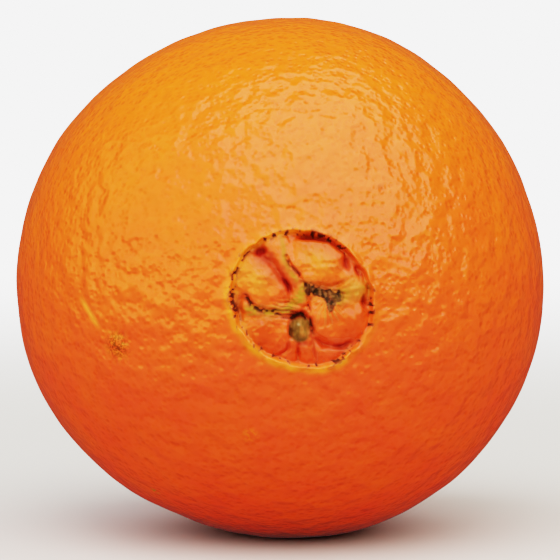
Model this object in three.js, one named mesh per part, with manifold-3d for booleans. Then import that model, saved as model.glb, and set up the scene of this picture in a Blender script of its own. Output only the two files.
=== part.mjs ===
// A navel orange lying on its side, in millimetres with +Z up. The navel faces -Y and the stem end faces +Y.
// It rests on a small flat spot at Z = 0, and the origin is the middle of its box on that plane.
// The rind is a lathe surface round the Y axis, whose every point is moved in or out by a formula.
import * as THREE from "three";
import { mergeVertices } from "three/addons/utils/BufferGeometryUtils.js";
import Module from "manifold-3d";

const wasm = await Module();
wasm.setup();

// The fruit: how far its rind is from its centre.
const EQUATOR_RADIUS = 40;
const NAVEL_REACH = 40.6;
const STEM_REACH = 42.4;
const CENTRE_HEIGHT = 38.9;
// The fruit is a little out of round: each wave goes so many times round it, and crests at an angle from +X.
const WAVES = [
  { count: 2, height: 0.33, crest: -12 },
  { count: 3, height: 0.33, crest: -47 },
  { count: 5, height: 0.14, crest: -4 },
];

// The navel: a torn opening in the rind with a thin lip, over a recess.
const RIM_RADIUS = 10;
const RIM_OVAL = 0.55;
const RIM_OVAL_CREST = 150;
const RIM_FADE = 12;
const WALL_WIDTH = 0.45;
const LIP_HEIGHT = 0.16;
const LIP_WIDTH = 0.6;
const SAUCER_DEPTH = 0.35;
const SAUCER_WIDTH = 4;
const RECESS_DEPTH = 1.9;
// The second small fruit inside the navel: each lobe's centre right and up of the navel's middle, its half
// length and half width, how far its length is turned from +X, and its top above the rind's own curve.
const LOBES = [
  { right: -5.9, up: 2.7, long: 5.0, wide: 3.7, turn: -47, top: -0.45 },
  { right: 2.1, up: 5.1, long: 5.0, wide: 4.2, turn: 4, top: -0.4 },
  { right: 7.2, up: 2.3, long: 3.4, wide: 2.2, turn: -70, top: -0.55 },
  { right: 5.1, up: -3.1, long: 5.0, wide: 4.1, turn: -20, top: -0.35 },
  { right: -5.0, up: -5.2, long: 5.0, wide: 3.7, turn: -28, top: -0.65 },
  { right: 4.6, up: -7.9, long: 4.4, wide: 1.7, turn: 26, top: -0.75 },
  { right: -1.5, up: -7.5, long: 2.9, wide: 1.2, turn: 72, top: -0.9 },
  { right: 0.6, up: -7.8, long: 2.9, wide: 1.2, turn: 92, top: -0.8 },
  { right: 2.4, up: -7.6, long: 2.6, wide: 1.0, turn: 112, top: -0.9 },
  { right: -2.7, up: 6.0, long: 4.9, wide: 1.9, turn: -62, top: -0.5 },
  { right: -4.6, up: -1.5, long: 5.2, wide: 1.1, turn: -6, top: -0.75 },
  { right: 0.0, up: 0.6, long: 2.0, wide: 1.7, turn: 60, top: -0.75 },
];
// A lobe is broad and flat on top: fullness squares off its outline, and a low rounding steepens its sides.
const LOBE_FULLNESS = 2.6;
const LOBE_ROUNDING = 0.55;
// The dried stub of the style, a bead in the middle of the lobes.
const STUB = { right: -0.3, up: -4.3, long: 1.9, wide: 1.6, turn: 112, top: -0.75 };

// The stem end: a dimple with furrows running out of it.
const DIMPLE_DEPTH = 2.1;
const DIMPLE_WIDTH = 8.5;
const FURROWS = 7;
const FURROW_DEPTH = 0.3;
const FURROW_REACH = 10;
const FURROW_WIDTH = 5;
const STEM_REGION = 21;

// The calyx: a woody star of five sepals in the dimple, with the scar of the stem in its middle.
const SEPALS = 5;
const SEPAL_REACH = 5.6;
const NOTCH_REACH = 3.3;
const SEPAL_TAPER = 1.1;
const SEPAL_UNEVEN = 0.3;
const SEPAL_UNEVEN_CREST = 20;
const SEPAL_THICKNESS = 0.6;
const SCAR_RADIUS = 1.9;
const SCAR_HEIGHT = 1.5;
const SCAR_HOLLOW = 0.4;
const CALYX_GAP = 0.3;
// The calyx's rings: shares of the scar's radius, then shares of the way from the scar's foot to the star's
// edge, over the top and back underneath.
const SCAR_FOOT = 2.1;
const SCAR_RINGS = [0, 0.5, 0.95, 1];
const SEPAL_RINGS = [0.15, 0.5, 0.85, 1];
const UNDER_RINGS = [1, 0.5, 0];

// The lathe's rings, as distances along the rind from the middle of the navel, and its segments.
const SEGMENTS = 72;
const HALF_TURN = Math.PI * EQUATOR_RADIUS;
const RING_ZONES = [
  { to: RIM_RADIUS - WALL_WIDTH, rings: 13 },
  { to: RIM_RADIUS, rings: 1 },
  { to: RIM_RADIUS + 2 * LIP_WIDTH, rings: 3 },
  { to: RIM_RADIUS + RIM_FADE, rings: 5 },
  { to: HALF_TURN - STEM_REGION, rings: 25 },
  { to: HALF_TURN, rings: 11 },
];
const CALYX_SEGMENTS = 40;
const FLAT_CUT_SIZE = 100;
// Points closer than this are one point, and a point this near the rim counts as on it.
const SAME_POINT = 1e-4;

const degrees = THREE.MathUtils.degToRad;
const bell = (distance, width) => Math.exp(-((distance / width) ** 2));

// The rind's plain curve: half an ellipse towards the navel and half towards the stem, out of round by the
// waves.
function rindRadius(theta, phi) {
  const reach = theta < Math.PI / 2 ? NAVEL_REACH : STEM_REACH;
  const waves = WAVES.map((w) => w.height * Math.cos(w.count * (phi - degrees(w.crest))));
  const across = EQUATOR_RADIUS + waves.reduce((sum, wave) => sum + wave, 0);
  return 1 / Math.hypot(Math.cos(theta) / reach, Math.sin(theta) / across);
}

function rimRadius(phi) {
  return RIM_RADIUS + RIM_OVAL * Math.cos(2 * (phi - degrees(RIM_OVAL_CREST)));
}

// A dome's height at a point of the navel. Its outline on the recess's floor is between an ellipse and a
// rectangle.
function domeHeight(dome, right, up) {
  const turn = degrees(dome.turn);
  const along = (right - dome.right) * Math.cos(turn) + (up - dome.up) * Math.sin(turn);
  const across = (up - dome.up) * Math.cos(turn) - (right - dome.right) * Math.sin(turn);
  const lengthways = Math.abs(along / dome.long) ** LOBE_FULLNESS;
  const sideways = Math.abs(across / dome.wide) ** LOBE_FULLNESS;
  const inside = Math.max(0, 1 - lengthways - sideways);
  return -RECESS_DEPTH + (dome.top + RECESS_DEPTH) * inside ** LOBE_ROUNDING;
}

// The navel's height over the rind's plain curve: the highest dome inside the rim, a lip and saucer outside.
function navelHeight(distance, phi) {
  const rim = rimRadius(phi);
  const outside = Math.max(0, distance - rim);
  const lip = LIP_HEIGHT * bell(outside, LIP_WIDTH) - SAUCER_DEPTH * bell(outside, SAUCER_WIDTH);
  if (distance >= rim - SAME_POINT) return lip;
  const right = distance * Math.cos(phi);
  const up = distance * Math.sin(phi);
  return Math.max(...[...LOBES, STUB].map((dome) => domeHeight(dome, right, up)));
}

// The stem end's depth under the rind's plain curve: a dimple, and furrows that fade in and out around it.
function stemHeight(distance, phi) {
  const furrow = (0.5 + 0.5 * Math.cos(FURROWS * phi)) * bell(distance - FURROW_REACH, FURROW_WIDTH);
  const outOfMiddle = 1 - bell(distance, FURROW_WIDTH);
  return -DIMPLE_DEPTH * bell(distance, DIMPLE_WIDTH) - FURROW_DEPTH * furrow * outOfMiddle;
}

// A point of the surface, from its distance along the rind from the middle of the navel, and its angle round
// the navel's axis, raised by some height.
function surfacePoint(distance, phi, raised = 0) {
  const theta = distance / EQUATOR_RADIUS;
  const navelSide = distance < HALF_TURN / 2;
  const detail = navelSide ? navelHeight(distance, phi) : stemHeight(HALF_TURN - distance, phi);
  const radius = rindRadius(theta, phi) + detail + raised;
  const ring = radius * Math.sin(theta);
  return new THREE.Vector3(ring * Math.cos(phi), -radius * Math.cos(theta), ring * Math.sin(phi));
}

// Moves each vertex of a lathe geometry to where place puts its profile step and its angle, and closes the
// seams. The profile runs towards +Y and the angle falls, so that the faces point outwards.
function shapedLathe(profileSteps, segments, place) {
  const profile = Array.from({ length: profileSteps }, (_, step) => new THREE.Vector2(step, step));
  const geometry = new THREE.LatheGeometry(profile, segments);
  const position = geometry.getAttribute("position");
  for (let i = 0; i < position.count; i++) {
    const step = i % profileSteps;
    const segment = Math.floor(i / profileSteps) % segments;
    const point = place(step, (-2 * Math.PI * segment) / segments);
    position.setXYZ(i, point.x, point.y, point.z);
  }
  geometry.deleteAttribute("normal");
  geometry.deleteAttribute("uv");
  return mergeVertices(geometry, SAME_POINT);
}

function solidOf(geometry) {
  const vertProperties = new Float32Array(geometry.getAttribute("position").array);
  const triVerts = new Uint32Array(geometry.index.array);
  return new wasm.Manifold(new wasm.Mesh({ numProp: 3, vertProperties, triVerts }));
}

function geometryOf(solid) {
  const mesh = solid.getMesh();
  const geometry = new THREE.BufferGeometry();
  geometry.setAttribute("position", new THREE.BufferAttribute(mesh.vertProperties, 3));
  geometry.setIndex(new THREE.BufferAttribute(mesh.triVerts, 1));
  geometry.computeVertexNormals();
  return geometry;
}

// The distances of the rings, zone by zone, starting at the middle of the navel.
function ringDistances() {
  const distances = [0];
  for (const zone of RING_ZONES) {
    const start = distances.at(-1);
    const gap = (zone.to - start) / zone.rings;
    for (let ring = 1; ring <= zone.rings; ring++) distances.push(start + gap * ring);
  }
  return distances;
}

// The rind with its navel and stem dimple. The rings near the navel follow its oval rim.
function orangeGeometry() {
  const distances = ringDistances();
  const whole = shapedLathe(distances.length, SEGMENTS, (step, phi) => {
    const fade = bell(Math.max(0, distances[step] - RIM_RADIUS), RIM_FADE / 2);
    const stretch = 1 + (rimRadius(phi) / RIM_RADIUS - 1) * fade;
    return surfacePoint(distances[step] * stretch, phi);
  });
  const below = new THREE.BoxGeometry(FLAT_CUT_SIZE, FLAT_CUT_SIZE, FLAT_CUT_SIZE);
  below.deleteAttribute("normal");
  below.deleteAttribute("uv");
  const cut = mergeVertices(below).translate(0, 0, -CENTRE_HEIGHT - FLAT_CUT_SIZE / 2);
  return geometryOf(solidOf(whole).subtract(solidOf(cut)));
}

// The calyx's height over the dimple: a thin star with a raised ring round the hollow scar of the stem.
function calyxThickness(distance) {
  const scar = SCAR_HEIGHT - SCAR_HOLLOW * bell(distance, SCAR_RADIUS / 2);
  return distance <= SCAR_RADIUS ? scar : SEPAL_THICKNESS;
}

// The star's edge: pointed sepals with rounded notches between them, two of them a little longer than the
// rest. The first points straight up.
function calyxReach(phi) {
  const fromPoint = Math.abs(Math.sin((SEPALS * (phi - Math.PI / 2)) / 2));
  const uneven = SEPAL_UNEVEN * Math.cos(2 * (phi - degrees(SEPAL_UNEVEN_CREST)));
  return NOTCH_REACH + (SEPAL_REACH + uneven - NOTCH_REACH) * (1 - fromPoint) ** SEPAL_TAPER;
}

function calyxGeometry() {
  const scar = SCAR_RINGS.map((share) => ({ near: share * SCAR_RADIUS, star: 0 }));
  const sepals = SEPAL_RINGS.map((share) => ({ near: SCAR_FOOT, star: share }));
  const underside = UNDER_RINGS.map((share) => ({ near: SCAR_FOOT, star: share, under: true }));
  const steps = [...scar, ...sepals, ...underside, { near: 0, star: 0, under: true }].reverse();
  return shapedLathe(steps.length, CALYX_SEGMENTS, (step, phi) => {
    const { near, star, under } = steps[step];
    const distance = near + (calyxReach(phi) - near) * star;
    const height = under ? CALYX_GAP : CALYX_GAP + calyxThickness(distance);
    return surfacePoint(HALF_TURN - distance, phi, height);
  });
}

// A named piece with its own finish.
function piece(name, geometry, colour, roughness) {
  const material = new THREE.MeshStandardMaterial({ color: colour, roughness, metalness: 0 });
  const mesh = new THREE.Mesh(geometry, material);
  mesh.name = name;
  return mesh;
}

const orange = piece("orange", orangeGeometry(), 0xe8761a, 0.45);
const calyx = piece("calyx", calyxGeometry(), 0x7c7038, 0.8);

// The whole fruit stands on Z = 0 with the middle of its box over the origin.
const fruit = new THREE.Group();
fruit.add(orange, calyx);
const box = new THREE.Box3().setFromObject(fruit);
const middle = box.getCenter(new THREE.Vector3());
fruit.position.set(-middle.x, -middle.y, CENTRE_HEIGHT);

export default fruit;
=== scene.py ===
import math

import bpy
import numpy as np
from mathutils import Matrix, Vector


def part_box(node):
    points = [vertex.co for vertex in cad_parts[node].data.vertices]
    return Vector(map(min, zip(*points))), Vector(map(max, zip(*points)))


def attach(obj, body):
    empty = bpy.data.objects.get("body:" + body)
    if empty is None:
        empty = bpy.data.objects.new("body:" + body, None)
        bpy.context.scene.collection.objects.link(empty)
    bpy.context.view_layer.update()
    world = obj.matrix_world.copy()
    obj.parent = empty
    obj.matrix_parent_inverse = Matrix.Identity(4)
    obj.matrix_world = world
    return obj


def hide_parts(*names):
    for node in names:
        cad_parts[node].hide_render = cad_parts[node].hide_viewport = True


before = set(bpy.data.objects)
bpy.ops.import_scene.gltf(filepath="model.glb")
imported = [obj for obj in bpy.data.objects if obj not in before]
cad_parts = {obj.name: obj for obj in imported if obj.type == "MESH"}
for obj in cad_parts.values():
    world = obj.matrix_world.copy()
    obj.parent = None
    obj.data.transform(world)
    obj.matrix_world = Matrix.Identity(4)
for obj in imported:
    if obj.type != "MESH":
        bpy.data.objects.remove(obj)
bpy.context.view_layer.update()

MM = 0.001

# The fruit: how far its rind is from its centre, and its waves as (times round, height, crest angle).
EQUATOR_RADIUS = 40.0
NAVEL_REACH = 40.6
STEM_REACH = 42.4
CENTRE_HEIGHT = 38.9
HALF_TURN = math.pi * EQUATOR_RADIUS
WAVES = [(2, 0.33, -12), (3, 0.33, -47), (5, 0.14, -4)]
# The rind's low relief, as (depth, spacing, seed). It is carved inwards, so that the fruit stays in its CAD
# box, starts between these distances from the rim, and reads its noise well away from the fruit's centre.
RELIEF = [(0.26, 9.0, 31), (0.14, 4.2, 32), (0.10, 2.4, 33)]
RELIEF_START = (-1, 2)
RELIEF_SHIFT = 500
# How far inside its box the fruit stays.
FIT_GAP = 0.01

# The navel's torn rim, which is a slightly oval ring, with a wall inside it and a lip, a saucer and radial
# puckers outside it.
RIM_RADIUS = 10.0
RIM_OVAL = 0.55
RIM_OVAL_CREST = 150
RIM_FADE = 12.0
RIM_TEAR = 0.22
RIM_TEAR_NOISE = (RIM_RADIUS, 1.3, 16)
WALL_WIDTH = 0.5
LIP_HEIGHT = 0.14
LIP_WIDTH = 0.6
LIP_UNEVEN = 0.5
LIP_NOISE = (0.8, 17)
SAUCER_DEPTH = 0.35
SAUCER_WIDTH = 4.0
PUCKERS = 31
PUCKER_DEPTH = 0.04
PUCKER_MIDDLE = 1.0
PUCKER_WIDTH = 2.6
PUCKER_START = 0.6
PUCKER_SWAY = 3.0
PUCKER_NOISE = (4.0, 18)

# The recess inside the rim, and the lobes of the small second fruit in it, as (right, up, half length, half
# width, turn, top), where top is how high the lobe stands over the rind.
RECESS_DEPTH = 1.9
CREASE_SOFTNESS = 0.2
LOBES = [
    (-5.9, 2.7, 5.0, 3.7, -47, -0.45),
    (2.1, 5.1, 5.0, 4.2, 4, -0.4),
    (7.2, 2.3, 3.4, 2.2, -70, -0.55),
    (5.1, -3.1, 5.0, 4.1, -20, -0.35),
    (-5.0, -5.2, 5.0, 3.7, -28, -0.65),
    (4.6, -7.9, 4.4, 1.7, 26, -0.75),
    (-1.5, -7.5, 2.9, 1.2, 72, -0.9),
    (0.6, -7.8, 2.9, 1.2, 92, -0.8),
    (2.4, -7.6, 2.6, 1.0, 112, -0.9),
    (-2.7, 6.0, 4.9, 1.9, -62, -0.5),
    (-4.6, -1.5, 5.2, 1.1, -6, -0.75),
    (0.0, 0.6, 2.0, 1.7, 60, -0.75),
]
LOBE_FULLNESS = 2.6
LOBE_ROUNDING = 0.55
LOBE_SWAY = 0.35
LOBE_SWAY_NOISE = (2.3, 11)
LOBE_LIFT_NOISE = (2.3, 12)

# The dried stub of the style, given as a lobe is, with its unevenness and the wave of its ribs.
STUB = (-0.3, -4.3, 1.9, 1.6, 112, -0.75)
STUB_UNEVEN = 0.12
STUB_NOISE = (0.8, 28)
STUB_RIB = 0.1
STUB_RIB_WAVE = (4.5, 1.5)

# Folds between the lobes, as (depth, width, how far its dark red painted shade spreads, how dark that shade
# is, line).
FOLDS = [
    (1.4, 0.40, 0.55, 0.9, [(-0.4, 9.0), (1.3, 8.8), (4.0, 8.3)]),
    (0.8, 0.40, 0.70, 0.5, [(4.0, 8.3), (6.2, 6.4)]),
    (0.8, 0.50, 0.80, 0.9, [(-6.8, 6.4), (-5.9, 6.9), (-5.0, 6.9)]),
    (0.5, 0.45, 1.10, 0.7, [(-6.6, 6.9), (-4.3, 4.8), (-2.4, 2.2)]),
    (0.9, 0.30, 0.50, 1.1, [(-2.9, 3.0), (-2.1, 1.9), (-1.8, 0.7)]),
    (0.6, 0.40, 0.70, 0.9, [(6.1, 6.0), (6.4, 4.9), (6.7, 4.0)]),
    (0.7, 0.40, 0.70, 0.7, [(7.7, 4.7), (8.4, 2.9)]),
    (0.4, 0.35, 0.50, 0.2, [(1.5, 1.9), (4.2, 1.7), (6.0, 2.3)]),
    (0.8, 0.35, 0.55, 0.8, [(8.9, 0.5), (9.2, -1.4)]),
    (0.5, 0.50, 0.80, 0.4, [(1.6, -5.5), (3.2, -6.5), (4.4, -6.8)]),
    (0.7, 0.40, 0.70, 0.9, [(4.4, -6.8), (5.8, -6.9), (7.1, -6.2)]),
    (0.4, 0.30, 0.50, 0.35, [(-1.9, -5.8), (-2.2, -7.2), (-3.4, -8.3)]),
    (0.35, 0.25, 0.40, 0.35, [(-0.5, -6.4), (-0.5, -9.0)]),
    (0.35, 0.25, 0.40, 0.4, [(1.5, -5.8), (1.9, -8.8)]),
    (0.5, 0.35, 0.50, 0.3, [(-8.6, 0.6), (-9.2, -1.0), (-8.6, -3.2)]),
    (0.25, 0.35, 0.45, 0.7, [(-0.7, -6.5), (0.8, -6.4)]),
]
# A fold's cut and its painted shade fade towards its ends by these shares. The shade, a dark red, is a wide
# faint one and a narrow deep one, as (share, times its spread), and wanders a little.
FOLD_CUT_TAPER = 0.8
FOLD_SHADE_TAPER = 0.6
FOLD_SHADES = [(0.42, 1.7), (0.5, 0.6)]
FOLD_WANDER = 0.3
FOLD_NOISE = (1.5, 19)

# Dry cracks: the main one, the one below it, the one along the ridge, the hollow above the stub, and the gap
# round the stub, whose dark is painted shadow.
MAIN_CRACK = [(-8.0, 0.4), (-7.1, -0.9), (-6.0, -1.55), (-4.6, -1.8), (-3.9, -1.8)]
LOWER_CRACK = [(-3.5, -2.0), (-2.7, -2.6), (-1.2, -2.7)]
RIDGE_CRACK = [(-2.3, 6.0), (-1.6, 4.6), (-0.6, 3.6), (0.1, 2.5), (0.8, 1.6), (0.9, -1.5)]
HOLLOW = [(-1.2, -2.2), (0.0, -2.2), (0.8, -3.1), (1.1, -4.2)]
STUB_GAP_AND_SHADOW = [(-1.6, -5.3), (-1.8, -3.9), (-1.5, -2.8), (-0.2, -2.2), (1.1, -3.0), (1.5, -4.9)]
# They are given as (depth, width, how dark, width of the dark, how beaded, line).
CRACKS = [
    (0.45, 0.30, 1.10, 0.45, 1.00, MAIN_CRACK),
    (0.20, 0.20, 0.50, 0.20, 0.00, LOWER_CRACK),
    (0.40, 0.22, 0.80, 0.36, 1.00, RIDGE_CRACK),
    (0.70, 0.50, 0.62, 0.70, 0.55, HOLLOW),
    (0.35, 0.28, 0.60, 0.30, 0.50, STUB_GAP_AND_SHADOW),
]
BEADS = (0.42, 23)

# The dry tissue: a band across the left, a pale ridge above it, a scar patch with a spike, and a fan from
# the patch to the rim, with fine ridges that spread from the fan's centre.
BAND = [(0.1, 1.4), (-0.4, 0.2), (-2.0, -1.3), (-4.6, -1.9), (-7.4, -1.6)]
RIDGE = [(-2.9, 8.7), (-2.6, 6.9), (-2.6, 5.6), (-1.9, 4.1), (-0.9, 2.8)]
SCAR = [(0.9, 1.5), (3.2, 0.75), (5.1, 0.4)]
SCAR_HALF_WIDTH = 0.72
SPIKE = [(3.4, 0.0), (3.9, -1.4), (4.4, 0.1)]
SPIKE_HALF_WIDTH = 0.52
FAN = [(5.4, 0.5), (9.4, 1.4)]
FAN_CENTRE = (3.4, 0.4)
FAN_RIDGES = 22
FAN_SWAY = 2
FAN_NOISE = (1.6, 15)
FAN_HEIGHT = 0.05
FAN_WIDTH = 1.6
# Wrinkles all over the recess, as (height, spacing, seed), and what share of them stays where it isn't dry.
WRINKLES = [(0.09, 0.55, 13), (0.08, 1.3, 14)]
FRESH_WRINKLE = 0.35
DRY_LINES = [(1.2, BAND), (1.4, SCAR)]
# Nearly level strings of dry tissue at the band's right end: their middle, their reach and their wave.
STRINGS = (-2.4, -1.6)
STRINGS_RADIUS = 1.5
STRINGS_STRETCH = 1.2
STRINGS_SPACING = 0.55
STRINGS_SLOPE = 0.12
STRINGS_SWAY = 1.5
STRINGS_NOISE = (1.0, 29)
STRINGS_HEIGHT = 0.06

# Soft round spots, as (right, up, radius, share): where the spikes under the scar patch are raised and where
# they are pale, the painted light that makes the lobes' tops golden, the painted shade that makes their
# sides redder, and the pale glint on the stub.
RAISED_SPIKES = [(3.4, -1.9, 1.4, 1.0)]
PALE_SPIKES = [(3.5, -1.6, 1.7, 1.0)]
LIT_LOBE_TOPS = [
    (-7.2, 3.4, 1.9, 0.62),
    (-6.0, 1.8, 1.5, 0.62),
    (1.2, 6.2, 1.9, 0.62),
    (3.0, 4.8, 1.6, 0.62),
    (6.9, 2.1, 1.4, 0.62),
    (7.8, 0.9, 1.3, 0.62),
]
# Painted shade: the lobes' sides and the lower lobes turn a darker red.
SHADED_SIDES = [
    (-5.4, -5.6, 3.0, 0.36),
    (-5.4, -3.0, 1.8, 0.26),
    (6.6, -4.8, 2.4, 0.3),
    (7.0, -1.6, 1.7, 0.24),
    (0.3, -7.8, 2.4, 0.22),
    (-5.2, 5.6, 1.3, 0.28),
    (0.8, 7.9, 1.8, 0.38),
    (3.6, 7.3, 1.3, 0.3),
    (5.3, 5.2, 1.2, 0.26),
]
STUB_GLINT = [(-0.55, -3.55, 0.22, 0.2)]

# Where dry tissue is pale yellow, as (share, width, line), besides the band, which is streaked along itself.
YELLOW_LINES = [(0.8, 0.4, RIDGE), (0.6, 1.3, FAN), (0.6, 1.1, SCAR)]
YELLOW_BAND = 1.3
YELLOW_BAND_WIDTH = 0.8
YELLOW_SPIKES = 0.6
BAND_STREAKS = (0.5, 25)
# The grain of dry tissue, which also makes the scar patch's edge ragged.
GRAIN = (0.4, 21)
# Bands along the rim, as (share, how far inside the rim, width): a golden one at the left, painted light on
# the wall that lies in shade there, the pale lip outside the rim, a thin pale strip inside it round one
# angle, and the one that holds the dark specks.
LIT_WALL_STRIP = (0.6, 0.7, 0.8)
OUTER_LIP = (0.8, -0.35, 0.55)
OUTER_LIP_NOISE = (1.4, 22)
INNER_LIP = (0.6, 0.25, 0.3)
INNER_LIP_ANGLE = 125
SPECK_BAND = (1.0, 0.3, 0.5)
# The specks along the rim, and where the rim is most worn, as (angle, width, how much).
RIM_SPECKS = (0.34, 24)
RIM_SPECK_GROUPS = (1.2, 22)
WORN_RIM = [
    (186, 15, 1.4),
    (148, 12, 0.9),
    (100, 26, 0.7),
    (66, 12, 0.5),
    (5, 16, 0.4),
    (-18, 8, 0.5),
    (-52, 12, 0.7),
]
# The beads and flakes of the scar patch, and the streaks along the stub.
SCAR_BEADS = (0.34, 26)
SCAR_FLAKES = (0.36, 30)
STUB_STREAKS = (0.6, 27)

# The stem end: a dimple, furrows that run out of it, and finer folds close to the calyx.
DIMPLE_DEPTH = 2.1
DIMPLE_WIDTH = 8.5
FURROWS = 7
FURROW_DEPTH = 0.3
FURROW_REACH = 10.0
FURROW_WIDTH = 5.0
STEM_FOLDS = 17
STEM_FOLD_DEPTH = 0.24
STEM_FOLD_REACH = 6.5
STEM_FOLD_WIDTH = 2.5
STEM_FOLD_SWAY = 3
STEM_FOLD_NOISE = (3.0, 42)

# The calyx: a woody star of five sepals round the scar of the stem.
SEPALS = 5
SEPAL_REACH = 5.6
NOTCH_REACH = 3.3
SEPAL_TAPER = 0.9
SEPAL_UNEVEN = 0.3
SEPAL_UNEVEN_CREST = 20
SEPAL_THICKNESS = 0.85
SEPAL_THINNING = 0.5
SEPAL_CREASE = 0.3
SEPAL_SHIFT = 0.16
SEPAL_SHIFT_NOISE = (3, 2.0, 45)
SEPAL_RAGGED = 0.5
SEPAL_RAGGED_NOISE = (4, 1.4, 43)
SEPAL_FRAYED_SHARE = 0.4
SEPAL_FRAYED_NOISE = (4, 0.5, 46)
TIP_BLUNTNESS = 0.22
TIP_CURL = 0.35
SCAR_RADIUS = 1.9
SCAR_HEIGHT = 1.42
SCAR_HOLLOW = 0.45
SCAR_UNEVEN = 0.15
SCAR_EDGE_WIDTH = 0.3
SCAR_EDGE_NOISE = (3, 1.0, 44)
PITH_RADIUS = 0.45
CALYX_GRAIN = 0.1
CALYX_GRAIN_NOISE = (0.5, 41)
CALYX_CRACKS = 46
CALYX_CRACK_DEPTH = 0.05
CALYX_EDGE_FULLNESS = 12
CALYX_ROOT = -0.35
CALYX_RINGS = 44
CALYX_SEGMENTS = 220

# The peel's segments, and its rings as zones of (distance at the zone's end, rings).
SEGMENTS = 400
RING_ZONES = [
    (RIM_RADIUS - WALL_WIDTH, 60),
    (RIM_RADIUS, 6),
    (RIM_RADIUS + 2 * LIP_WIDTH, 10),
    (RIM_RADIUS + RIM_FADE, 27),
    (HALF_TURN - 2.5 * DIMPLE_WIDTH, 113),
    (HALF_TURN, 31),
]


def bell(distance, width):
    """One at no distance, and fading to nothing past this width, as a Gaussian curve."""
    return np.exp(-((distance / width) ** 2))


def smooth_step(value, low, high):
    """Nothing at the low value and one at the high one, with a smooth S between them."""
    share = np.clip((value - low) / (high - low), 0, 1)
    return share * share * (3 - 2 * share)


def right_and_up(distance, phi):
    """A distance and an angle round the fruit's axis, as how far right and how far up of it."""
    return distance * np.cos(phi), distance * np.sin(phi)


def soft_noise(places, spacing, seed):
    """Seeded numbers from -1 to 1 on a cubic lattice of this spacing, blended smoothly between corners."""
    size = 48
    lattice = np.random.default_rng(seed).uniform(-1, 1, (size, size, size))
    scaled = places / spacing
    corner = np.floor(scaled).astype(int)
    share = scaled - corner
    share = share * share * (3 - 2 * share)
    total = np.zeros(places.shape[:-1])
    for step in np.ndindex(2, 2, 2):
        weight = np.prod(np.where(step, share, 1 - share), axis=-1)
        x, y, z = np.moveaxis((corner + step) % size, -1, 0)
        total += weight * lattice[x, y, z]
    return total


def flat_noise(right, up, spacing, seed):
    """The same noise over places on a plane."""
    return soft_noise(np.stack([right, up, np.zeros_like(right)], axis=-1), spacing, seed)


def ring_noise(phi, radius, spacing, seed):
    """The same noise round a circle of this radius."""
    return flat_noise(*right_and_up(radius, phi), spacing, seed)


def along_rim(inward, share, middle, width):
    """A soft band along the rim."""
    return share * bell(inward - middle, width)


def spots(right, up, places):
    """Soft round spots, added up."""
    return sum(share * bell(np.hypot(right - x, up - y), radius) for x, y, radius, share in places)


def near_line(right, up, line):
    """How far each place is from a line through a few points."""
    nearest = np.full(right.shape, np.inf)
    for (ax, ay), (bx, by) in zip(line[:-1], line[1:]):
        along = ((right - ax) * (bx - ax) + (up - ay) * (by - ay)) / ((bx - ax) ** 2 + (by - ay) ** 2)
        along = np.clip(along, 0, 1)
        gap = np.hypot(right - ax - along * (bx - ax), up - ay - along * (by - ay))
        nearest = np.minimum(nearest, gap)
    return nearest


def towards_ends(right, up, line):
    """Nothing in the middle of a line's span, rising smoothly to one just past its ends."""
    (ax, ay), (bx, by) = line[0], line[-1]
    span = math.hypot(bx - ax, by - ay)
    along = ((right - (ax + bx) / 2) * (bx - ax) + (up - (ay + by) / 2) * (by - ay)) / span
    return smooth_step(np.abs(along) / span, 0.15, 0.6)


def rind_radius(theta, phi):
    """Half an ellipse towards the navel and half towards the stem, out of round by the waves."""
    reach = np.where(theta < math.pi / 2, NAVEL_REACH, STEM_REACH)
    waves = sum(high * np.cos(count * (phi - math.radians(crest))) for count, high, crest in WAVES)
    return 1 / np.hypot(np.cos(theta) / reach, np.sin(theta) / (EQUATOR_RADIUS + waves))


def rim_radius(phi):
    """A slightly oval ring, as the navel's opening tore."""
    return RIM_RADIUS + RIM_OVAL * np.cos(2 * (phi - math.radians(RIM_OVAL_CREST)))


def torn_rim(phi):
    """The oval ring, made a little uneven by noise round a circle of its size."""
    return rim_radius(phi) + RIM_TEAR * ring_noise(phi, *RIM_TEAR_NOISE)


def dome(right, up, lobe):
    """The top of an ellipsoid that stands on the floor of the recess."""
    x, y, long, wide, turn, top = lobe
    turn = math.radians(turn)
    along = (right - x) * math.cos(turn) + (up - y) * math.sin(turn)
    across = (up - y) * math.cos(turn) - (right - x) * math.sin(turn)
    inside = 1 - np.abs(along / long) ** LOBE_FULLNESS - np.abs(across / wide) ** LOBE_FULLNESS
    return -RECESS_DEPTH + (top + RECESS_DEPTH) * np.clip(inside, 0, 1) ** LOBE_ROUNDING


def on_stub(right, up):
    """One on the dried stub and nothing off it, with a soft and slightly lumpy edge."""
    x, y, long, wide, _, _ = STUB
    lumps = STUB_UNEVEN * flat_noise(right, up, *STUB_NOISE)
    return smooth_step(1.1 + lumps - np.hypot((right - x) / wide, (up - y) / long), 0, 0.3)


def fan_lines(right, up):
    """Fine ridges that spread from the scar patch, as a wave in the angle round the fan's centre."""
    x, y = FAN_CENTRE
    turn = np.arctan2(up - y, right - x)
    return np.cos(FAN_RIDGES * turn + FAN_SWAY * flat_noise(right, up, *FAN_NOISE))


def dry_strings(right, up):
    """Nearly level strings of dry tissue, as a wave across them that fades away from their middle."""
    x, y = STRINGS
    turns = 2 * math.pi * (up + STRINGS_SLOPE * right) / STRINGS_SPACING
    wave = np.cos(turns + STRINGS_SWAY * flat_noise(right, up, *STRINGS_NOISE))
    return wave * bell(np.hypot((right - x) / STRINGS_STRETCH, up - y), STRINGS_RADIUS)


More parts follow.
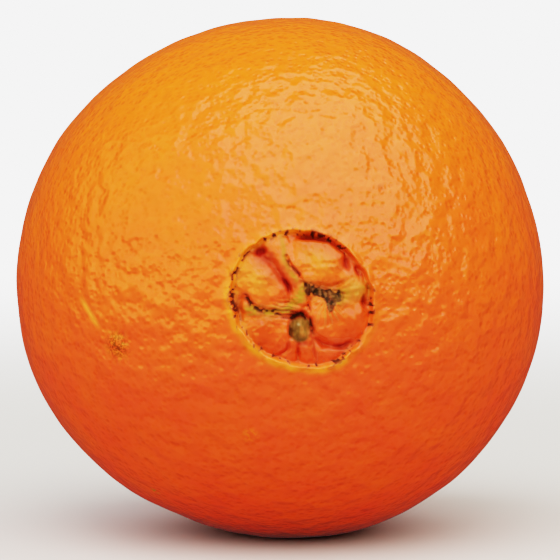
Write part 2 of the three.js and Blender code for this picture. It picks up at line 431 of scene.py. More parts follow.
def recess_height(right, up):
    """The highest of the lobes at each place, with soft creases between them. Folds, which are shallower
    towards their ends, and cracks are cut in, and strings, the stub's ribs and wrinkles are added."""
    sway = LOBE_SWAY * flat_noise(right, up, *LOBE_SWAY_NOISE)
    lift = LOBE_SWAY * flat_noise(right, up, *LOBE_LIFT_NOISE)
    heights = np.stack([dome(right + sway, up + lift, lobe) for lobe in LOBES] + [dome(right, up, STUB)])
    height = CREASE_SOFTNESS * np.log(np.exp(heights / CREASE_SOFTNESS).sum(axis=0))
    for deep, wide, _, _, line in FOLDS:
        taper = 1 - FOLD_CUT_TAPER * towards_ends(right, up, line)
        height -= deep * taper * bell(near_line(right + sway / 2, up + lift / 2, line), wide)
    for deep, wide, _, _, _, line in CRACKS:
        height -= deep * bell(near_line(right, up, line), wide)
    height += STRINGS_HEIGHT * dry_strings(right, up)
    across, along = STUB_RIB_WAVE
    height += STUB_RIB * np.cos(across * right + along * up) * on_stub(right, up)
    wrinkle = sum(high * flat_noise(right, up, spacing, seed) for high, spacing, seed in WRINKLES)
    dry = np.clip(sum(bell(near_line(right, up, line), wide) for wide, line in DRY_LINES), 0, 1)
    return height + wrinkle * (FRESH_WRINKLE + dry)


def navel_height(distance, phi):
    """The recess inside the rim, and a lip, a saucer and radial puckers outside it."""
    right, up = right_and_up(distance, phi)
    rim = torn_rim(phi)
    outside = np.clip(distance - rim, 0, None)
    lip = LIP_HEIGHT * (1 + LIP_UNEVEN * flat_noise(right, up, *LIP_NOISE)) * bell(outside, LIP_WIDTH)
    lip -= SAUCER_DEPTH * bell(outside, SAUCER_WIDTH)
    pucker = np.cos(PUCKERS * phi + PUCKER_SWAY * flat_noise(right, up, *PUCKER_NOISE))
    near_rim = bell(outside - PUCKER_MIDDLE, PUCKER_WIDTH) * smooth_step(outside, 0, PUCKER_START)
    lip -= PUCKER_DEPTH * (1 + pucker) * near_rim
    fan = np.clip(bell(near_line(right, up, FAN), FAN_WIDTH) + spots(right, up, RAISED_SPIKES), 0, 1)
    inner = recess_height(right, up) + FAN_HEIGHT * fan_lines(right, up) * fan
    return inner + (lip - inner) * smooth_step(distance, rim - WALL_WIDTH, rim)


def stem_height(distance, phi):
    """A dimple at the stem end, furrows that fade in and out round it, and finer folds near the calyx."""
    furrow = (0.5 + 0.5 * np.cos(FURROWS * phi)) * bell(distance - FURROW_REACH, FURROW_WIDTH)
    right, up = right_and_up(distance, phi)
    fold = np.cos(STEM_FOLDS * phi + STEM_FOLD_SWAY * flat_noise(right, up, *STEM_FOLD_NOISE))
    fold = fold * bell(distance - STEM_FOLD_REACH, STEM_FOLD_WIDTH)
    height = -DIMPLE_DEPTH * bell(distance, DIMPLE_WIDTH) - STEM_FOLD_DEPTH * fold
    return height - FURROW_DEPTH * furrow * (1 - bell(distance, FURROW_WIDTH))


def on_rind(distance, phi, raised=0.0):
    """The point at a distance along the rind and an angle round the fruit's axis, raised a little. The
    distance over the equator's radius is its angle from the navel, seen from the fruit's centre. It is as
    far out as the rind's radius plus the height of the navel or of the stem end there."""
    theta = distance / EQUATOR_RADIUS
    detail = np.where(
        distance < HALF_TURN / 2,
        navel_height(distance, phi),
        stem_height(HALF_TURN - distance, phi),
    )
    radius = rind_radius(theta, phi) + detail + raised
    right, up = right_and_up(radius * np.sin(theta), phi)
    return np.stack([right, -radius * np.cos(theta), up], axis=-1)


def ring_distances():
    """The distances of the peel's rings, evenly spaced within each zone."""
    starts = [0.0] + [to for to, rings in RING_ZONES[:-1]]
    zones = [
        np.linspace(start, to, rings, endpoint=False)
        for start, (to, rings) in zip(starts, RING_ZONES)
    ]
    return np.append(np.concatenate(zones), HALF_TURN)


def peel_grid():
    """The peel's rings and angles. The rings near the navel are stretched to follow its oval rim."""
    distances = ring_distances()
    angles = np.linspace(0, 2 * math.pi, SEGMENTS, endpoint=False)
    fade = bell(np.clip(distances - RIM_RADIUS, 0, None), RIM_FADE / 2)[:, None]
    stretch = 1 + (rim_radius(angles)[None] / RIM_RADIUS - 1) * fade
    distance = distances[:, None] * stretch
    return distance, np.broadcast_to(angles, distance.shape)


def in_place(points):
    """Moves points so that the plain fruit's box just fits the CAD peel's, and flattens what would be under
    the floor."""
    lowest = on_rind(*peel_grid()).reshape(-1, 3).min(axis=0)
    cad_lowest = np.array(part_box("orange")[0]) / MM
    placed = points + np.array([*(cad_lowest - lowest)[:2] + FIT_GAP, CENTRE_HEIGHT])
    placed[..., 2] = np.maximum(placed[..., 2], 0)
    return placed


def closed_rings(name, points):
    """A closed mesh from rings of points; the first and the last ring are each drawn together to one point.
    The rings run from the start pole to the end pole, each turning so that the faces point outwards."""
    rings, segments, _ = points.shape
    inner = rings - 2
    vertices = np.concatenate([points[:1, 0], points[1:-1].reshape(-1, 3), points[-1:, 0]])
    here = 1 + np.arange(segments)
    after = 1 + (np.arange(segments) + 1) % segments
    start = np.stack([np.zeros(segments, int), after, here], axis=-1)
    row = segments * np.arange(inner - 1)[:, None]
    quads = np.stack([here + row, after + row, after + row + segments, here + row + segments], axis=-1)
    last = segments * (inner - 1)
    end = np.stack([here + last, after + last, np.full(segments, len(vertices) - 1)], axis=-1)
    faces = start.tolist() + quads.reshape(-1, 4).tolist() + end.tolist()
    mesh = bpy.data.meshes.new(name)
    mesh.from_pydata((vertices * MM).tolist(), [], faces)
    mesh.polygons.foreach_set("use_smooth", np.ones(len(mesh.polygons), bool))
    piece = bpy.data.objects.new(name, mesh)
    bpy.context.scene.collection.objects.link(piece)
    return piece


def mark(piece, name, values):
    """Keeps a number from 0 to 1 at each vertex, for the material to read. Each pole takes its ring's first
    one."""
    flat = np.concatenate([values[:1, 0], values[1:-1].ravel(), values[-1:, 0]])
    attribute = piece.data.attributes.new(name, "FLOAT", "POINT")
    attribute.data.foreach_set("value", np.clip(flat, 0, 1).astype(np.float32))


def lit_lobe_tops(right, up, phi, inward):
    """Painted light: the lobes' tops turned golden where light falls on them, and a golden strip just inside
    the rim on the left, over the wall that lies in shade.
    """
    left = smooth_step(-np.cos(phi + 0.2), 0.4, 0.9)
    return np.clip(spots(right, up, LIT_LOBE_TOPS) + along_rim(inward, *LIT_WALL_STRIP) * left, 0, 1)


def fold_shades(right, up):
    """The painted shade along each fold, a dark red, which wanders a little and fades towards the fold's
    ends.
    """
    wander = FOLD_WANDER * flat_noise(right, up, *FOLD_NOISE)
    total = 0
    for _, _, spread, dark, line in FOLDS:
        away = near_line(right + wander, up, line)
        taper = 1 - FOLD_SHADE_TAPER * towards_ends(right, up, line)
        total = total + dark * taper * sum(share * bell(away, times * spread) for share, times in FOLD_SHADES)
    return total


def yellow_tissue(right, up):
    """Pale stringy tissue along the band, the ridge and the fan, and in spikes under the scar patch."""
    streaks = flat_noise(right * 0.6, up * 2.2, *BAND_STREAKS)
    total = YELLOW_BAND * bell(near_line(right, up, BAND), YELLOW_BAND_WIDTH) * (0.8 + 0.5 * streaks)
    total += sum(share * bell(near_line(right, up, line), wide) for share, wide, line in YELLOW_LINES)
    total += YELLOW_SPIKES * smooth_step(fan_lines(right, up), -0.2, 0.9) * spots(right, up, PALE_SPIKES)
    return total * (1 + 0.4 * flat_noise(right, up, *GRAIN))


def pale_lip(right, up, phi, inward):
    """A pale uneven lip just outside the rim, and a thin strip inside at one angle. The lip is fullest below
    the rim, as painted light where the light falls on it.
    """
    uneven = 0.8 + 0.5 * flat_noise(right, up, *OUTER_LIP_NOISE)
    # Painted light: the lip is fullest on its lower side, where the light falls on it.
    below = 0.2 + 0.8 * smooth_step(-np.sin(phi) - 0.4 * np.cos(phi), -0.3, 0.6)
    near_angle = smooth_step(np.cos(phi - math.radians(INNER_LIP_ANGLE)), 0.5, 0.95)
    return along_rim(inward, *OUTER_LIP) * uneven * below + along_rim(inward, *INNER_LIP) * near_angle


def worn_rim(phi):
    """How worn the rim is at each angle, as a bell round each worn place."""
    return sum(
        much * bell(np.angle(np.exp(1j * (phi - math.radians(at)))), math.radians(wide))
        for at, wide, much in WORN_RIM
    )


def dry_dark(right, up, phi, inward):
    """Dark dried cracks with beaded edges, painted shadow round the stub and in the gaps between the
    strings, the scar patch's edge, and specks along the worn rim."""
    beads = smooth_step(flat_noise(right, up, *BEADS), -0.35, 0.1)
    total = sum(
        dark * bell(near_line(right, up, line), wide) * (1 - beaded + beaded * beads)
        for _, _, dark, wide, beaded, line in CRACKS
    )
    # Painted shadow in the gaps between the strings.
    total = total + 0.5 * smooth_step(-dry_strings(right, up), 0.1, 0.7)
    total += 0.6 * bell(near_line(right, up, SCAR) - SCAR_HALF_WIDTH, 0.2) * beads
    specks = 1.4 * flat_noise(right, up, *RIM_SPECKS) + 0.4 * flat_noise(right, up, *RIM_SPECK_GROUPS)
    specks = specks + 0.7 * worn_rim(phi)
    return total + smooth_step(specks, 0.6, 0.95) * along_rim(inward, *SPECK_BAND)


def scar_patch(right, up):
    """One on the scar patch and its spike and nothing off them, with ragged edges."""
    grain = flat_noise(right, up, *GRAIN)
    patch = smooth_step(SCAR_HALF_WIDTH - near_line(right, up, SCAR) + 0.35 * grain, 0, 0.25)
    spike = smooth_step(SPIKE_HALF_WIDTH - near_line(right, up, SPIKE) + 0.15 * grain, 0, 0.2)
    return np.maximum(patch, spike)


def stub_shade(right, up, streaks):
    """The stub is darker towards its foot and its left side, and along its streaks."""
    x, y = STUB[:2]
    foot = 0.3 + 0.6 * smooth_step(y - 0.5 - up, 0, 1.0)
    return np.clip(foot - 0.35 * (right - x) + 0.4 * streaks, 0, 0.85)


def peel_marks(piece, distance, phi):
    """Where the peel isn't plain orange rind, as one number from 0 to 1 for each kind of tissue."""
    right, up = right_and_up(distance, phi)
    inward = torn_rim(phi) - distance
    inside = smooth_step(inward, 0, 0.4)
    scar = scar_patch(right, up)
    beads = smooth_step(flat_noise(right, up, *SCAR_BEADS), -0.5, 0.3)
    flakes = smooth_step(flat_noise(right, up, *SCAR_FLAKES), 0.1, 0.5)
    stub = on_stub(right, up)
    streaks = flat_noise(right * 2.2, up * 0.7, *STUB_STREAKS)
    mark(piece, "golden_top", lit_lobe_tops(right, up, phi, inward) * inside)
    mark(piece, "ruddy_skin", spots(right, up, SHADED_SIDES) * inside)
    mark(piece, "deep_red", fold_shades(right, up) * inside)
    mark(piece, "yellow_tissue", yellow_tissue(right, up) * inside)
    mark(piece, "pale_lip", pale_lip(right, up, phi, inward))
    mark(piece, "dry_dark", dry_dark(right, up, phi, inward))
    mark(piece, "scar_patch", scar * inside * (0.86 + 0.14 * beads))
    mark(piece, "scar_flake", 0.4 * scar * inside * flakes)
    mark(piece, "style_stub", stub * (0.9 + 0.15 * streaks))
    mark(piece, "stub_shade", stub * stub_shade(right, up, streaks))
    mark(piece, "stub_glint", spots(right, up, STUB_GLINT))


def make_peel():
    """The whole rind with its navel: rings round the fruit's axis, from the navel's middle to the stem end,
    and low relief carved towards the fruit's centre by noise, everywhere but in the navel."""
    distance, phi = peel_grid()
    points = on_rind(distance, phi)
    outward = points / np.linalg.norm(points, axis=-1, keepdims=True)
    carved = sum(depth * (0.5 + 0.5 * soft_noise(points + RELIEF_SHIFT, *noise)) for depth, *noise in RELIEF)
    start, full = RELIEF_START
    carved = carved * smooth_step(distance, RIM_RADIUS + start, RIM_RADIUS + full)
    peel = closed_rings("peel", in_place(points - carved[..., None] * outward))
    peel_marks(peel, distance, phi)
    return peel


def calyx_reach(phi):
    """Blunt sepals with rounded notches between them, unevenly long and spaced, and with ragged edges."""
    turned = phi + SEPAL_SHIFT * ring_noise(phi, *SEPAL_SHIFT_NOISE)
    from_point = np.hypot(np.sin(SEPALS * (turned - math.pi / 2) / 2), TIP_BLUNTNESS)
    furthest = math.hypot(1, TIP_BLUNTNESS)
    share = (furthest - from_point) / (furthest - TIP_BLUNTNESS)
    uneven = SEPAL_UNEVEN * np.cos(2 * (phi - math.radians(SEPAL_UNEVEN_CREST)))
    frayed = SEPAL_FRAYED_SHARE * ring_noise(phi, *SEPAL_FRAYED_NOISE)
    ragged = SEPAL_RAGGED * (ring_noise(phi, *SEPAL_RAGGED_NOISE) + frayed)
    return NOTCH_REACH + ragged + (SEPAL_REACH + uneven - NOTCH_REACH) * share ** SEPAL_TAPER


def make_calyx():
    """A star that stands in the dimple: rings from the middle of the scar out to the sepals' edge, and back
    under. The scar is a low rough disc, and each sepal has a midrib, sunk sides and a tip that curls up."""
    out = np.linspace(0, 1, CALYX_RINGS)
    angles = np.linspace(0, 2 * math.pi, CALYX_SEGMENTS, endpoint=False)
    share, phi = np.meshgrid(out, angles, indexing="ij")
    distance = share * calyx_reach(phi)
    grain = flat_noise(*right_and_up(distance, phi), *CALYX_GRAIN_NOISE)
    ribs = np.cos(SEPALS * (phi - math.pi / 2)) ** 2
    edge = SCAR_RADIUS + SCAR_UNEVEN * ring_noise(phi, *SCAR_EDGE_NOISE)
    scar = SCAR_HEIGHT - SCAR_HOLLOW * bell(distance, SCAR_RADIUS * 0.6)
    curl = TIP_CURL * smooth_step(distance, NOTCH_REACH, SEPAL_REACH)
    sepal = SEPAL_THICKNESS * (1 - SEPAL_THINNING * share ** 4) - SEPAL_CREASE * (1 - ribs) * share + curl
    height = sepal + (scar - sepal) * smooth_step(edge - distance, -0.25, 0.15)
    cracks = np.cos(CALYX_CRACKS * phi + 2 * grain) * smooth_step(share, 0.3, 0.8)
    height = height + CALYX_GRAIN * grain + CALYX_CRACK_DEPTH * cracks
    rounded = np.sqrt(np.clip(1 - share ** CALYX_EDGE_FULLNESS, 0, 1))
    top = on_rind(HALF_TURN - distance, phi, height * rounded)
    under = on_rind(HALF_TURN - distance, phi, CALYX_ROOT)[:-1][::-1]
    rings = np.concatenate([top, under])
    calyx = closed_rings("calyx_star", in_place(rings[::-1]))

    def both_sides(values):
        return np.concatenate([values, values[:-1][::-1]])[::-1]

    mark(calyx, "stem_scar", both_sides(smooth_step(edge - distance, -0.1, 0.3)))
    mark(calyx, "scar_edge", both_sides(bell(edge - distance, SCAR_EDGE_WIDTH) * (0.8 + 0.4 * grain)))
    mark(calyx, "pith", both_sides(0.8 * bell(distance, PITH_RADIUS) * (0.8 + 0.6 * grain)))
    mark(calyx, "dry_tip", both_sides(smooth_step(share + 0.15 * grain, 0.55, 1.0)))
    return calyx


def colour(hex_value):
    """A colour written as sRGB hex, as the linear one that the shader takes."""
    parts = [int(hex_value[i:i + 2], 16) / 255 for i in (1, 3, 5)]
    return (*[c / 12.92 if c <= 0.04045 else ((c + 0.055) / 1.055) ** 2.4 for c in parts], 1)


def towards(azimuth, elevation):
    """The direction from the fruit to a place seen at this azimuth, from -Y towards +X, and elevation."""
    a, e = math.radians(azimuth), math.radians(elevation)
    return Vector((math.sin(a) * math.cos(e), -math.cos(a) * math.cos(e), math.sin(e)))


def add(tree, kind, inputs=None, **settings):
    """Adds a node with its settings, and gives each input a value or links it to another node's output."""
    made = tree.nodes.new("ShaderNode" + kind)
    for name, value in settings.items():
        setattr(made, name, value)
    for name, value in (inputs or {}).items():
        if isinstance(value, bpy.types.NodeSocket):
            tree.links.new(value, made.inputs[name])
        else:
            made.inputs[name].default_value = value
    return made


def new_material(name):
    """A material with an empty node tree, and that tree."""
    material = bpy.data.materials.new(name)
    material.use_nodes = True
    material.node_tree.nodes.clear()
    return material, material.node_tree


def per_metre(spacing):
    """How often a pattern of this spacing in millimetres comes in a metre."""
    return 1 / (spacing * MM)


# The sockets of a Mix node that blends colours.
SHARE, FIRST, SECOND, MIXED = 0, 6, 7, 2


def coated(tree, paint, coats):
    """A paint with coats of colour laid over it in turn, each as (where it lies, from 0 to 1, colour)."""
    for share, hex_value in coats:
        inputs = {SHARE: share, FIRST: paint, SECOND: colour(hex_value)}
        paint = add(tree, "Mix", inputs, data_type="RGBA").outputs[MIXED]
    return paint


# The rind's orange: redder low down and, as painted light for its lit top, yellower high up between these
# heights; mottled, and dark in pits.
LOW_ORANGE = "#e44f2c"
LIT_HIGH_ORANGE = "#ec6520"
LIT_HIGH_RISE = (25, 68)
MOTTLE_ORANGE = "#f07c16"
MOTTLE_SPACING = 7
MOTTLE_SHARE = 0.18
PIT_ORANGE = "#d8480c"
PIT_SHARE = 0.27
# The rind's swells and the fine pits of its oil glands: how far apart they are, and how high or deep.
SWELL_SPACING = 2.3
SWELL_HEIGHT = 0.8
# The swells are full near the navel and slight on the fruit's sides, between these places along its axis.
SWELL_FADE = (-30, -10)
SIDE_SWELL = 0.35
GLAND_SPACING = 0.9
GLAND_RADIUS = 0.55
GLAND_FLOOR = 0.1
GLAND_DEPTH = 0.08
# The gloss of wax and of dry tissue, and how far light spreads under the skin, for red, green and blue.
WAX_ROUGHNESS = 0.19
DRY_ROUGHNESS = 0.8
WAX_IOR = 1.42
SKIN_GLOW = 0.15
GLOW_DEPTH = 1.2
GLOW_COLOURS = (1.0, 0.35, 0.1)
# Marks on the rind, as (azimuth, elevation, radius, speckle spacing, share, colour): a pale halo and the
# brown scar on it, a pale fleck low down, three pits at the upper right, and a green fleck.
BLEMISHES = [
    (-39.8, -10.2, 3.2, 0.8, 0.38, "#ec7c28"),
    (-39.8, -10.2, 2.5, 0.35, 0.85, "#643c14"),
    (-11.3, -29.2, 1.6, 0.6, 0.35, "#f07c24"),
    (17.8, 22.3, 0.9, 0.5, 0.7, "#b84c10"),
    (24.3, 20.5, 0.35, 0.3, 0.7, "#7a4410"),
    (19.5, 14.6, 0.4, 0.3, 0.6, "#7a4410"),
    (-50.0, -49.5, 1.0, 0.5, 0.7, "#7a7a1c"),
]
SPECK_EDGES = (0.42, 0.56)
# A pale streak between two places, as (azimuth, elevation).
STREAK = [(-49.6, -0.5), (-43.9, -7.2)]
STREAK_WIDTH = 0.7
STREAK_SHARE = 0.8
STREAK_COLOUR = "#f69038"
# The colours of the navel's tissues and of the painted light and shade on it (lit lobe tops, shaded lobe
# sides, the shade in folds, on the stub and round it, and the stub's glint), in the order they lie in, and
# the dry ones, which have no gloss left.
NAVEL_COLOURS = {
    "golden_top": "#d8742e",
    "ruddy_skin": "#a42a0c",
    "deep_red": "#8c1e14",
    "yellow_tissue": "#9c6a1e",
    "pale_lip": "#f08a2c",
    "scar_patch": "#2e180a",
    "scar_flake": "#90603c",
    "style_stub": "#86602a",
    "stub_shade": "#54300e",
    "stub_glint": "#f0e0b0",
    "dry_dark": "#4a1e10",
}
DRY_TISSUES = ["deep_red", "yellow_tissue", "scar_patch", "style_stub", "dry_dark"]


def blemish_coats(tree, place, direction):
    """A coat for each mark on the rind. A place is as far from a mark as the gap between their two
    directions from the fruit's centre, times the fruit's radius. The mark is full within a third of its
    radius, and fine noise breaks it into specks."""
    coats = []
    for azimuth, elevation, radius, spacing, share, hex_value in BLEMISHES:
        gap = add(tree, "VectorMath", {0: direction, 1: towards(azimuth, elevation)}, operation="DISTANCE")
        edge = radius / EQUATOR_RADIUS
        near = add(tree, "MapRange", {
            "Value": gap.outputs["Value"],
            "From Min": edge,
            "From Max": edge / 3,
            "To Max": share,
        })
        noise = add(tree, "TexNoise", {"Vector": place, "Scale": per_metre(spacing), "Detail": 1.0})
        low, high = SPECK_EDGES
        speck = add(tree, "MapRange", {"Value": noise.outputs["Fac"], "From Min": low, "From Max": high})
        both = {0: near.outputs["Result"], 1: speck.outputs["Result"]}
        there = add(tree, "Math", both, operation="MULTIPLY").outputs["Value"]
        coats.append((there, hex_value))
    return coats


def streak_coat(tree, direction):
    """A coat along the streak, narrow across it, and fading from half way out to its ends."""
    start, end = (towards(*place_seen) for place_seen in STREAK)
    middle = (start + end).normalized()
    reach = (end - start).length / 2
    across = start.cross(end).normalized()
    aside = add(tree, "VectorMath", {0: direction, 1: across}, operation="DOT_PRODUCT").outputs["Value"]
    off = add(tree, "Math", {0: aside}, operation="ABSOLUTE").outputs["Value"]
    along = add(tree, "VectorMath", {0: direction, 1: middle}, operation="DISTANCE").outputs["Value"]
    narrow = add(tree, "MapRange", {
        "Value": off,
        "From Min": STREAK_WIDTH / EQUATOR_RADIUS,
        "From Max": 0.0,
        "To Max": STREAK_SHARE,
    })
    short = add(tree, "MapRange", {"Value": along, "From Min": reach, "From Max": reach * 0.5})
    both = {0: narrow.outputs["Result"], 1: short.outputs["Result"]}
    return add(tree, "Math", both, operation="MULTIPLY").outputs["Value"], STREAK_COLOUR


def citrus_rind(centre):
    """Waxed citrus rind: an orange skin, glossy with wax, swollen and pitted by its oil glands, and slightly
    translucent, with painted light that yellows it high up. The marks at its vertices paint the navel's
    tissues and painted light and shade on them, and the dry ones lose their gloss."""
    material, tree = new_material("waxed_citrus_rind")
    place = add(tree, "TexCoord").outputs["Object"]
    parts = add(tree, "SeparateXYZ", {"Vector": place}).outputs
    from_centre = add(tree, "VectorMath", {0: place, 1: centre}, operation="SUBTRACT").outputs["Vector"]
    direction = add(tree, "VectorMath", {0: from_centre}, operation="NORMALIZE").outputs["Vector"]

    glands = add(tree, "TexVoronoi", {"Vector": place, "Scale": per_metre(GLAND_SPACING)})
    pit = add(tree, "MapRange", {
        "Value": glands.outputs["Distance"],
        "From Min": GLAND_RADIUS,
        "From Max": GLAND_FLOOR,
    })
    swell = add(tree, "TexNoise", {"Vector": place, "Scale": per_metre(SWELL_SPACING), "Detail": 0.8})
    mottle = add(tree, "TexNoise", {"Vector": place, "Scale": per_metre(MOTTLE_SPACING), "Detail": 3.0})

    # Painted light: the rind turns yellower towards its top, where the light falls.
    low, high = LIT_HIGH_RISE
    lit_high = add(tree, "MapRange", {"Value": parts["Z"], "From Min": low * MM, "From Max": high * MM})
    patchy = add(tree, "MapRange", {
        "Value": mottle.outputs["Fac"],
        "From Min": 0.3,
        "From Max": 0.8,
        "To Max": MOTTLE_SHARE,
    })
    dotted = add(tree, "Math", {0: pit.outputs["Result"], 1: PIT_SHARE}, operation="MULTIPLY")
    tissues = {name: add(tree, "Attribute", attribute_name=name).outputs["Fac"] for name in NAVEL_COLOURS}
    coats = [
        (lit_high.outputs["Result"], LIT_HIGH_ORANGE),
        (patchy.outputs["Result"], MOTTLE_ORANGE),
        (dotted.outputs["Value"], PIT_ORANGE),
        *blemish_coats(tree, place, direction),
        streak_coat(tree, direction),
        *[(tissues[name], hex_value) for name, hex_value in NAVEL_COLOURS.items()],
    ]
    roughness = WAX_ROUGHNESS
    for name in DRY_TISSUES:
        dry = add(tree, "MapRange", {"Value": tissues[name], "To Min": roughness, "To Max": DRY_ROUGHNESS})
        roughness = dry.outputs["Result"]

    full, slight = SWELL_FADE
    swollen = add(tree, "MapRange", {
        "Value": parts["Y"],
        "From Min": full * MM,
        "From Max": slight * MM,
        "To Min": 1.0,
        "To Max": SIDE_SWELL,
    })
    swell_bump = add(tree, "Bump", {
        "Height": swell.outputs["Fac"],
        "Distance": SWELL_HEIGHT * MM,
        "Strength": swollen.outputs["Result"],
    })
    pit_bump = add(tree, "Bump", {
        "Height": pit.outputs["Result"],
        "Distance": GLAND_DEPTH * MM,
        "Normal": swell_bump.outputs["Normal"],
    }, invert=True)
    skin = add(tree, "BsdfPrincipled", {
        "Base Color": coated(tree, colour(LOW_ORANGE), coats),
        "Normal": pit_bump.outputs["Normal"],
        "Roughness": roughness,
        "IOR": WAX_IOR,
        "Subsurface Weight": SKIN_GLOW,
        "Subsurface Radius": GLOW_COLOURS,
        "Subsurface Scale": GLOW_DEPTH * MM,
    })
    add(tree, "OutputMaterial", {"Surface": skin.outputs["BSDF"]})
    return material


# The calyx's wood, with its dark and its pale grain, and the colours of its parts in the order they lie in.
DARK_WOOD = "#4a3a1a"
PALE_WOOD = "#a08a50"
CALYX_COLOURS = {"dry_tip": "#6a4424", "stem_scar": "#b09468", "scar_edge": "#4a3014", "pith": "#5a3c1a"}
WOOD_GRAIN_SPACING = 0.8
WOOD_GRAIN_HEIGHT = 0.25
WOOD_ROUGHNESS = 0.75


def woody_calyx():
    """Dried calyx wood: matt, olive brown and finely cracked, paler in the scar of the stem."""
    material, tree = new_material("dried_calyx_wood")
    place = add(tree, "TexCoord").outputs["Object"]
    noise = add(tree, "TexNoise", {"Vector": place, "Scale": per_metre(WOOD_GRAIN_SPACING), "Detail": 5.0})
    grain = noise.outputs["Fac"]
    parts = {name: add(tree, "Attribute", attribute_name=name).outputs["Fac"] for name in CALYX_COLOURS}
    coats = [(grain, PALE_WOOD)] + [(parts[name], hex_value) for name, hex_value in CALYX_COLOURS.items()]
    bump = add(tree, "Bump", {"Height": grain, "Distance": WOOD_GRAIN_HEIGHT * MM})
    wood = add(tree, "BsdfPrincipled", {
        "Base Color": coated(tree, colour(DARK_WOOD), coats),
        "Normal": bump.outputs["Normal"],
        "Roughness": WOOD_ROUGHNESS,
    })
    add(tree, "OutputMaterial", {"Surface": wood.outputs["BSDF"]})
    return material


# The background paper: its colour, half its width, and the distances from the fruit between which it fades
# into the background, in metres.
PAPER_COLOUR = "#cac8c5"
PAPER_HALF_WIDTH = 3.0
PAPER_FADE = (0.12, 0.6)


def pale_paper():
    """Seamless background paper: matt and pale, and fading into the background away from the fruit."""
    material, tree = new_material("background_paper")
    place = add(tree, "TexCoord").outputs["Object"]
    away = add(tree, "VectorMath", {0: place}, operation="LENGTH").outputs["Value"]
    start, end = PAPER_FADE
    fade = add(tree, "MapRange", {
        "Value": away,
        "From Min": start,
        "From Max": end,
    }, interpolation_type="SMOOTHSTEP")
    paper = add(tree, "BsdfDiffuse", {"Color": colour(PAPER_COLOUR)})
    clear = add(tree, "BsdfTransparent")
    mixed = add(tree, "MixShader", {
        0: fade.outputs["Result"],
        1: paper.outputs["BSDF"],
        2: clear.outputs["BSDF"],
    })
    add(tree, "OutputMaterial", {"Surface": mixed.outputs["Shader"]})
    return material


def make_floor():
    """A wide flat sheet of paper under the fruit. It doesn't show in the wax."""
    half = PAPER_HALF_WIDTH
    corners = [(-half, -half, 0), (half, -half, 0), (half, half, 0), (-half, half, 0)]
    mesh = bpy.data.meshes.new("floor")
    mesh.from_pydata(corners, [], [(0, 1, 2, 3)])
    floor = bpy.data.objects.new("floor", mesh)
    bpy.context.scene.collection.objects.link(floor)
    mesh.materials.append(pale_paper())
    floor.visible_glossy = False


# The picture: the camera stands a little left of the navel's axis and looks slightly down. Half the frame is
# this share of the camera's distance, and the frame's middle is a little below the fruit's centre.
CAMERA_AZIMUTH = -4.3
CAMERA_ELEVATION = 4.1
CAMERA_DISTANCE = 450.0
SENSOR_WIDTH = 36.0
HALF_FRAME = 0.09484
FRAME_DROP = 0.18
NEAREST_SEEN = 10.0

# Softboxes and gold cards, as (name, azimuth, elevation, distance, width, height, brightness, colour, what
# it does), in metres. The cards light nothing, and only show as the golden sheen in the wax.
SOFTBOXES = [
    ("key_softbox", 29, 54, 1.1, 1.5, 2.0, 2.55, "#fff9ea", "lights and shines"),
    ("fill_softbox", -48, 44, 1.2, 2.0, 2.0, 2.2, "#ffffff", "lights"),
    ("back_softbox", 175, 35, 1.3, 2.0, 1.4, 0.6, "#ffffff", "lights"),
    ("side_softbox", 95, 12, 1.2, 1.6, 1.4, 0.42, "#ffffff", "lights"),
    ("left_card", -61, 28, 1.2, 2.5, 1.2, 1.5, "#fff074", "shines"),
    ("left_strip", -42, 5, 1.2, 1.9, 0.36, 2.2, "#fff074", "shines"),
    ("right_card", 26, 8, 1.2, 1.8, 0.42, 2.0, "#fff074", "shines"),
]
# What the surroundings shed on the fruit, and how bright they look to the camera.
ROOM_LIGHT = 0.08
BACKGROUND_LIGHT = 2.2


def looking(thing, direction, distance, target):
    """Puts a camera or a light at a distance from its target, looking at it."""
    thing.location = target + direction * distance
    thing.rotation_euler = (-direction).to_track_quat("-Z", "Y").to_euler()
    bpy.context.scene.collection.objects.link(thing)
    return thing


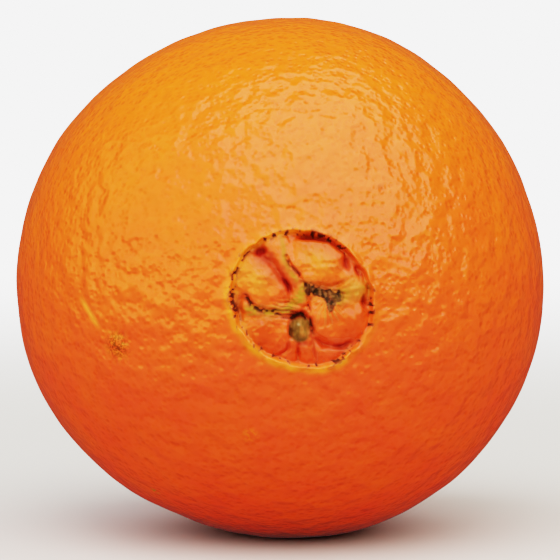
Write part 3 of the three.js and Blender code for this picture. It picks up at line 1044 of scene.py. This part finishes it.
def make_camera(centre):
    """A camera with a long lens that just holds the fruit."""
    camera = bpy.data.cameras.new("camera")
    camera.sensor_width = SENSOR_WIDTH
    camera.lens = SENSOR_WIDTH / 2 / HALF_FRAME
    camera.clip_start = NEAREST_SEEN * MM
    target = centre - Vector((0, 0, FRAME_DROP * MM))
    direction = towards(CAMERA_AZIMUTH, CAMERA_ELEVATION)
    placed = looking(bpy.data.objects.new("camera", camera), direction, CAMERA_DISTANCE * MM, target)
    bpy.context.scene.camera = placed


def make_softbox(centre, name, azimuth, elevation, distance, width, height, brightness, tint, work):
    """A soft rectangle of light. Its power is its brightness times pi times its area."""
    light = bpy.data.lights.new(name, "AREA")
    light.shape = "RECTANGLE"
    light.size = width
    light.size_y = height
    light.energy = brightness * math.pi * width * height
    light.color = colour(tint)[:3]
    box = looking(bpy.data.objects.new(name, light), towards(azimuth, elevation), distance, centre)
    box.visible_camera = False
    box.visible_diffuse = "lights" in work
    box.visible_glossy = "shines" in work


def make_surroundings():
    """A bright even background, which sheds only a little light of its own on the fruit."""
    world = bpy.data.worlds.new("studio")
    bpy.context.scene.world = world
    world.use_nodes = True
    tree = world.node_tree
    tree.nodes.clear()
    seen = add(tree, "LightPath").outputs["Is Camera Ray"]
    strength = add(tree, "MapRange", {"Value": seen, "To Min": ROOM_LIGHT, "To Max": BACKGROUND_LIGHT})
    glow = add(tree, "Background", {"Color": (1, 1, 1, 1), "Strength": strength.outputs["Result"]})
    add(tree, "OutputWorld", {"Surface": glow.outputs["Background"]})


peel_low, peel_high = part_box("orange")
fruit_centre = Vector(((peel_low.x + peel_high.x) / 2, (peel_low.y + peel_high.y) / 2, CENTRE_HEIGHT * MM))

peel = make_peel()
peel.data.materials.append(citrus_rind(fruit_centre))
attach(peel, "root")
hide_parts("orange")

calyx = make_calyx()
calyx.data.materials.append(woody_calyx())
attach(calyx, "root")
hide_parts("calyx")

make_camera(fruit_centre)
make_floor()
make_surroundings()
for softbox in SOFTBOXES:
    make_softbox(fruit_centre, *softbox)

# The darks stay dark and the brightest orange rolls off softly, as in a contrasty photograph.
bpy.context.scene.view_settings.view_transform = "Filmic"
bpy.context.scene.view_settings.look = "Very High Contrast"
